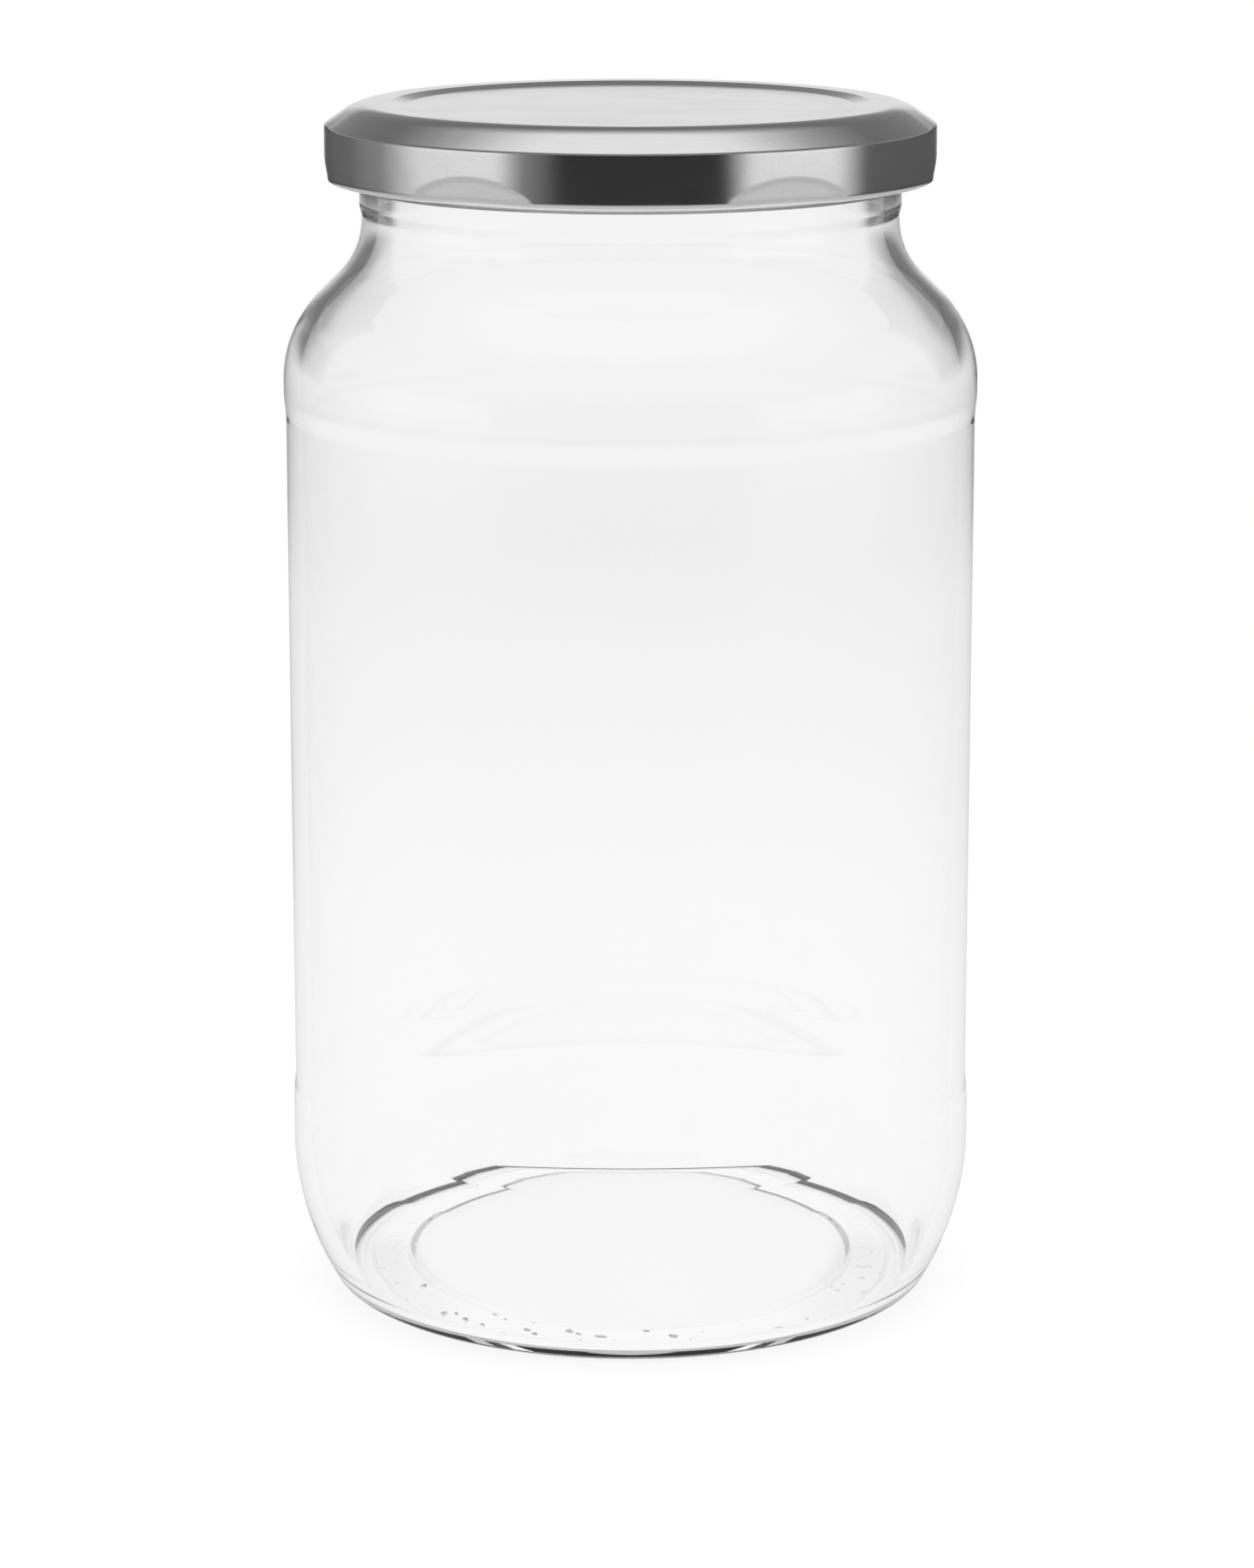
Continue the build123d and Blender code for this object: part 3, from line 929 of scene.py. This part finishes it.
def table_material(look):
    """White table that keeps a faint shadow. Its own light changes with the distance, with a painted
    reflection: to glossy rays it is dimmer near the jar.
    """
    material = bpy.data.materials.new("White table")
    material.cycles.emission_sampling = "NONE"
    tree = node_tree(material)
    output = add_node(tree, "ShaderNodeOutputMaterial")
    matt = add_node(tree, "ShaderNodeBsdfDiffuse", Color=MATT_WHITE)
    lit = add_node(tree, "ShaderNodeEmission", Color=(*look.white, 1))
    mix = add_node(tree, "ShaderNodeMixShader")
    place = add_node(tree, "ShaderNodeTexCoord")
    distance = add_node(tree, "ShaderNodeVectorMath", {"operation": "LENGTH"})
    join(tree, place, "Object", distance, 0)
    away = distance.outputs["Value"]
    lit_share = smooth_range(tree, away, *LIT_SHARE)
    # Painted reflection: the table is dimmer in reflections near the jar
    mirrored = smooth_range(tree, away, *TABLE_MIRRORED)
    # Through the glass the table carries painted shade, dimmer for rays turned many times in the glass
    through = shaded_through_glass(tree, grey_ramp(tree, away, 0, TABLE_REACH, TABLE_LEVELS))
    tree.links.new(by_ray(tree, 0, lit_share, 1, lit_share), mix.inputs[0])
    tree.links.new(by_ray(tree, 1, mirrored, through, 1), lit.inputs["Strength"])
    join(tree, matt, "BSDF", mix, 1)
    join(tree, lit, "Emission", mix, 2)
    join(tree, mix, "Shader", output, "Surface")
    return material


ROOM_LEVELS = (
    (0, 0.88), (0.57, 0.88), (0.61, 0.27), (0.72, 0.2),
    (0.8, 0.17), (0.855, 0.3), (0.9, 0.48), (0.96, 1),
)
ROOM_THROUGH_GLASS = 0.965
ROOM_ON_MATT = 0.55


def room_world(look):
    """White to the camera, with a pale horizon, a dim wall and a bright ceiling to mirror."""
    world = bpy.data.worlds.new("Studio room")
    tree = node_tree(world)
    output = add_node(tree, "ShaderNodeOutputWorld")
    place = add_node(tree, "ShaderNodeTexCoord")
    split = add_node(tree, "ShaderNodeSeparateXYZ")
    white = add_node(tree, "ShaderNodeBackground", Color=(*look.white, 1))
    join(tree, place, "Generated", split, "Vector")
    mirrored = grey_ramp(tree, split.outputs["Z"], -1, 1, ROOM_LEVELS)
    # Through the glass the room carries the same painted shade, dimmer for rays turned many times
    through = shaded_through_glass(tree, ROOM_THROUGH_GLASS)
    level = by_ray(tree, ROOM_ON_MATT, mirrored, through, 1)
    tree.links.new(level, white.inputs["Strength"])
    join(tree, white, "Background", output, "Surface")
    return world


FRONT = 0.5
DEGREES_ROUND = 360


def panel_material(name, level, shares, fade_from, fade_to):
    """Dark panels round the jar, there or not by angle from the front, and fading below."""
    material = bpy.data.materials.new(name)
    material.cycles.emission_sampling = "NONE"
    tree = node_tree(material)
    output = add_node(tree, "ShaderNodeOutputMaterial")
    place = add_node(tree, "ShaderNodeTexCoord")
    split = add_node(tree, "ShaderNodeSeparateXYZ")
    turn = add_node(tree, "ShaderNodeMath", {"operation": "ARCTAN2"})
    clear = add_node(tree, "ShaderNodeBsdfTransparent")
    lit = add_node(tree, "ShaderNodeEmission", Strength=level)
    mix = add_node(tree, "ShaderNodeMixShader")
    join(tree, place, "Object", split, "Vector")
    tree.links.new(split.outputs["X"], turn.inputs[0])
    tree.links.new(multiplied(tree, split.outputs["Y"], -1), turn.inputs[1])
    stops = [(FRONT + angle / DEGREES_ROUND, part) for angle, part in shares]
    there = grey_ramp(tree, turn.outputs[0], -math.pi, math.pi, stops, "EASE")
    rise = smooth_range(tree, split.outputs["Z"], fade_from, fade_to, 0, 1)
    tree.links.new(multiplied(tree, there, rise), mix.inputs[0])
    join(tree, clear, "BSDF", mix, 1)
    join(tree, lit, "Emission", mix, 2)
    join(tree, mix, "Shader", output, "Surface")
    return material


REFLECTOR = {"radius": 0.5, "height": 0.25, "fade_from": 0, "fade_to": 0.05, "level": 0.03}
# Degrees from the front, to the right where positive, and how solid the panel is there
REFLECTOR_SHARES = (
    (-180, 0), (-170, 0), (-158, 0.92), (-128, 0.87), (-106, 0.76), (-76, 0.04),
    (-50, 0), (-37, 0.8), (-22, 1), (32, 1), (46, 0), (76, 0),
    (96, 0.9), (158, 0.92), (170, 0), (180, 0),
)
CARD = {"radius": 0.45, "height": 0.42, "fade_from": 0.09, "fade_to": 0.15, "level": 0.21}
CARD_SHARES = (
    (-180, 0), (-165, 0), (-160, 1), (-125, 1), (-117, 0),
    (117, 0), (125, 1), (161, 1), (166, 0), (180, 0),
)
PANEL_SEGMENTS = 96
RAY_KINDS = (
    "visible_camera", "visible_diffuse", "visible_glossy", "visible_transmission",
    "visible_volume_scatter", "visible_shadow",
)
LAMPS = (
    ("Ceiling softbox", (0, 0.1, 1.3), 1.6, 26),
    ("Left softbox", (-1.3, -0.6, 0.7), 0.9, 9),
    ("Right softbox", (1.3, -0.5, 0.7), 0.9, 9),
)
LAMP_TARGET = Vector((0, 0, 0.08))
TABLE_HALF = 6
TABLE_LIFT = 0.00001
BOUNCES = 24
SENSOR_WIDTH = 36
CLIP_START = 0.01
CAMERA_SHIFT_X = -4 / 1800
CAMERA_SHIFT_Y = -0.1


class JAR_OT_stage(bpy.types.Operator):
    """Set up the white table, the lights and the camera"""

    bl_idname = "preserving_jar.stage"
    bl_label = "Table, lights and camera"

    def execute(self, context):
        scene = context.scene
        look = scene.jar_stage
        self.table(scene, look)
        self.panels(scene, "reflectors", REFLECTOR, REFLECTOR_SHARES, "visible_glossy")
        self.panels(scene, "back_cards", CARD, CARD_SHARES, "visible_transmission")
        for name, place, size, power in LAMPS:
            self.lamp(scene, name, place, size, power)
        scene.world = room_world(look)
        scene.view_settings.view_transform = "Standard"
        scene.cycles.max_bounces = BOUNCES
        scene.cycles.glossy_bounces = BOUNCES
        scene.cycles.transmission_bounces = BOUNCES
        self.camera(scene, look)
        return {"FINISHED"}

    def set_up(self, scene, name, shape, material):
        """Object of the stage, made from a shape."""
        mesh = bpy.data.meshes.new(name)
        shape.to_mesh(mesh)
        shape.free()
        mesh.materials.append(material)
        thing = bpy.data.objects.new(name, mesh)
        scene.collection.objects.link(thing)
        return thing

    def table(self, scene, look):
        """Table, lifted by a hair so that the flat of the bearing ring is in contact with it."""
        shape = bmesh.new()
        bmesh.ops.create_grid(shape, x_segments=1, y_segments=1, size=TABLE_HALF)
        table = self.set_up(scene, "table", shape, table_material(look))
        table.location.z = TABLE_LIFT

    def panels(self, scene, name, sizes, shares, seen):
        """Round wall of panels that only one kind of ray sees."""
        radius, height = sizes["radius"], sizes["height"]
        shape = bmesh.new()
        bmesh.ops.create_cone(
            shape, segments=PANEL_SEGMENTS, radius1=radius, radius2=radius, depth=height
        )
        bmesh.ops.translate(shape, verts=shape.verts, vec=(0, 0, height / 2))
        material = panel_material(name, sizes["level"], shares, sizes["fade_from"], sizes["fade_to"])
        wall = self.set_up(scene, name, shape, material)
        for kind in RAY_KINDS:
            setattr(wall, kind, kind == seen)

    def lamp(self, scene, name, place, size, power):
        light = bpy.data.lights.new(name, "AREA")
        light.size = size
        light.energy = power
        lamp = bpy.data.objects.new(name, light)
        lamp.location = place
        lamp.rotation_euler = (LAMP_TARGET - Vector(place)).to_track_quat("-Z", "Y").to_euler()
        lamp.visible_camera = False
        lamp.visible_glossy = False
        lamp.visible_transmission = False
        scene.collection.objects.link(lamp)

    def camera(self, scene, look):
        data = bpy.data.cameras.new("Camera")
        data.lens = look.lens
        data.sensor_width = SENSOR_WIDTH
        data.shift_x = CAMERA_SHIFT_X
        data.shift_y = CAMERA_SHIFT_Y
        data.clip_start = CLIP_START
        camera = bpy.data.objects.new("Camera", data)
        camera.location = (0, -look.camera_distance, look.camera_height)
        camera.rotation_euler = (QUARTER_TURN - look.camera_pitch, 0, 0)
        scene.collection.objects.link(camera)
        scene.camera = camera


class JAR_PT_panel(bpy.types.Panel):
    """Lists the pieces of the jar and the sizes they are made from"""

    bl_idname = "JAR_PT_panel"
    bl_label = "Preserving Jar"
    bl_space_type = "VIEW_3D"
    bl_region_type = "UI"
    bl_category = "Jar"

    def draw(self, context):
        column = self.layout.column(align=True)
        for operator in OPERATORS:
            column.operator(operator.bl_idname)
        for name in SETTINGS:
            settings = getattr(context.scene, name)
            box = self.layout.box()
            box.label(text=settings.__class__.__doc__)
            for item in settings.__annotations__:
                box.prop(settings, item)


OPERATORS = (JAR_OT_glass, JAR_OT_cap, JAR_OT_seal, JAR_OT_stage)
SETTINGS = {
    "jar_sizes": JarSizes,
    "jar_cap": CapSizes,
    "jar_glass": GlassFinish,
    "jar_cap_finish": CapFinish,
    "jar_stage": StageLook,
}


def register():
    for group in SETTINGS.values():
        bpy.utils.register_class(group)
    for name, group in SETTINGS.items():
        setattr(bpy.types.Scene, name, PointerProperty(type=group))
    for operator in OPERATORS:
        bpy.utils.register_class(operator)
    bpy.utils.register_class(JAR_PT_panel)


def unregister():
    bpy.utils.unregister_class(JAR_PT_panel)
    for operator in reversed(OPERATORS):
        bpy.utils.unregister_class(operator)
    for name in SETTINGS:
        delattr(bpy.types.Scene, name)
    for group in reversed(list(SETTINGS.values())):
        bpy.utils.unregister_class(group)


def main():
    register()
    bpy.ops.preserving_jar.glass()
    bpy.ops.preserving_jar.cap()
    bpy.ops.preserving_jar.seal()
    bpy.ops.preserving_jar.stage()


if __name__ == "__main__":
    main()
